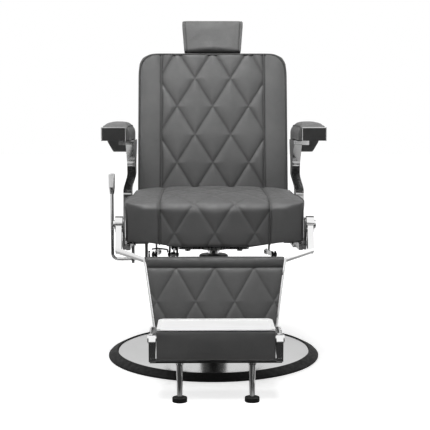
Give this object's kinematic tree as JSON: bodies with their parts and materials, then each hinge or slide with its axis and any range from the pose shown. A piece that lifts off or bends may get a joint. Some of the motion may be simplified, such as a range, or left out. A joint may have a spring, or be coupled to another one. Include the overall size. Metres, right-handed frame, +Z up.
{
  "type": "hydraulic barber chair",
  "caption": "Upholstered barber chair on a round pump base: it lifts, swivels and reclines, the leg rest rises with the back, and the footboard flips over.",
  "frame": {"origin": "on the floor, on the axis of the hydraulic pump", "axes": "+Z up, -Y the way the sitter faces, +X the sitter's left"},
  "size_m": [0.716, 0.948, 1.1282],
  "materials": {
    "chrome": "polished chrome plate",
    "stainless": "satin stainless sheet",
    "plated_steel": "bright zinc plate",
    "black_enamel": "gloss black enamel",
    "cast_weight": "rough cast",
    "black_rubber": "matt",
    "black_plastic": "satin",
    "thrust_plastic": "satin",
    "plywood": "raw birch ply",
    "grey_leather": "soft pebbled hide, diamond quilted, black piping"
  },
  "bodies": {
    "base": {"base_weight": "cast_weight", "base_cover": "chrome", "base_ring": "black_rubber", "pump_body": "black_enamel", "pump_gland": "black_plastic", "pump_skirt": "chrome", "pump_bolts": "plated_steel", "pedal_pin": "plated_steel"},
    "pedal": {"pedal_arm": "black_enamel", "pedal_pad": "black_rubber"},
    "lift": {"ram": "chrome", "ram_piston": "plated_steel", "thrust_washer": "thrust_plastic"},
    "seat": {"mount_hub": "plated_steel", "mount_bolts": "plated_steel", "seat_frame": "black_enamel", "seat_board": "plywood", "seat_cushion": "grey_leather", "arm_frame_right": "chrome", "arm_frame_left": "chrome", "arm_bolts": "plated_steel", "armrest_pad_right": "grey_leather", "armrest_pad_left": "grey_leather", "armrest_trim_right": "chrome", "armrest_trim_left": "chrome", "armrest_cap_right": "black_plastic", "armrest_cap_left": "black_plastic", "legrest_pivots": "chrome", "back_hinge_shaft": "plated_steel", "release_cable": "black_plastic"},
    "lever": {"lever_rod": "chrome", "lever_grip": "chrome"},
    "back": {"back_frame": "black_enamel", "back_cross_rod": "plated_steel", "link_pins": "plated_steel", "back_board": "plywood", "back_cushion": "grey_leather", "back_shell": "grey_leather", "headrest_socket": "plated_steel"},
    "headrest_button": {"headrest_button": "black_plastic"},
    "headrest": {"headrest_bar": "plated_steel", "headrest_board": "plywood", "headrest_cushion": "grey_leather"},
    "gas_cylinder": {"gas_cylinder": "black_enamel"},
    "gas_rod": {"gas_rod": "chrome"},
    "link_right": {"link_right": "black_enamel"},
    "link_left": {"link_left": "black_enamel"},
    "legrest": {"legrest_arm_right": "chrome", "legrest_arm_left": "chrome", "legrest_tubes": "black_enamel", "calf_board": "plywood", "calf_pad": "grey_leather", "foot_bracket_right": "chrome", "foot_bracket_left": "chrome", "foot_tie_bar": "black_enamel", "stand_legs": "chrome", "stand_tips": "black_rubber", "footboard_pivots": "chrome"},
    "footboard": {"footboard_plate": "stainless", "footboard_pad": "grey_leather"}
  },
  "joints": [
    {"name": "lift_slide", "type": "slide", "parent": "base", "child": "lift", "axis": [0, 0, 1], "range_m": [0, 0.15]},
    {"name": "seat_swivel", "type": "hinge", "parent": "lift", "child": "seat", "pos_m": [0, 0, 0.36], "axis": [0, 0, 1], "continuous": true},
    {"name": "pump_pedal", "type": "hinge", "parent": "base", "child": "pedal", "pos_m": [0, 0.078, 0.092], "axis": [-1, 0, 0], "range_deg": [-4, 9]},
    {"name": "back_recline", "type": "hinge", "parent": "seat", "child": "back", "pos_m": [0, 0.185, 0.44], "axis": [-1, 0, 0], "range_deg": [0, 50]},
    {"name": "legrest_lift", "type": "hinge", "parent": "seat", "child": "legrest", "pos_m": [0, -0.25, 0.468], "axis": [-1, 0, 0], "range_deg": [0, 60]},
    {"name": "footboard_flip", "type": "hinge", "parent": "legrest", "child": "footboard", "pos_m": [0, -0.54, 0.18], "axis": [1, 0, 0], "range_deg": [0, 180]},
    {"name": "lever_pull", "type": "hinge", "parent": "seat", "child": "lever", "pos_m": [0, -0.08, 0.335], "axis": [-1, 0, 0], "range_deg": [0, 15]},
    {"name": "headrest_slide", "type": "slide", "parent": "back", "child": "headrest", "axis": [0, 0.2079, 0.9781], "range_m": [0, 0.09]},
    {"name": "headrest_button_press", "type": "slide", "parent": "back", "child": "headrest_button", "axis": [0, -0.9781, 0.2079], "range_m": [0, 0.004]},
    {"name": "link_right_swing", "type": "hinge", "parent": "back", "child": "link_right", "pos_m": [0, 0.24543, 0.3104], "axis": [-1, 0, 0], "range_deg": [-50, 0]},
    {"name": "link_left_swing", "type": "hinge", "parent": "back", "child": "link_left", "pos_m": [0, 0.24543, 0.3104], "axis": [-1, 0, 0], "range_deg": [-50, 0]},
    {"name": "gas_cylinder_swing", "type": "hinge", "parent": "back", "child": "gas_cylinder", "pos_m": [0, 0.22388, 0.35662], "axis": [-1, 0, 0], "range_deg": [-50, 0]},
    {"name": "gas_rod_slide", "type": "slide", "parent": "gas_cylinder", "child": "gas_rod", "axis": [0, 1, 0], "range_m": [0, 0.078]}
  ],
  "couplings": [
    {"joint": "legrest_lift", "follows": "back_recline", "ratio": 1.2},
    {"joint": "link_right_swing", "follows": "back_recline", "ratio": -1},
    {"joint": "link_left_swing", "follows": "back_recline", "ratio": -1},
    {"joint": "gas_cylinder_swing", "follows": "back_recline", "ratio": -1},
    {"joint": "gas_rod_slide", "follows": "back_recline", "m_per_rad": 0.089108}
  ]
}
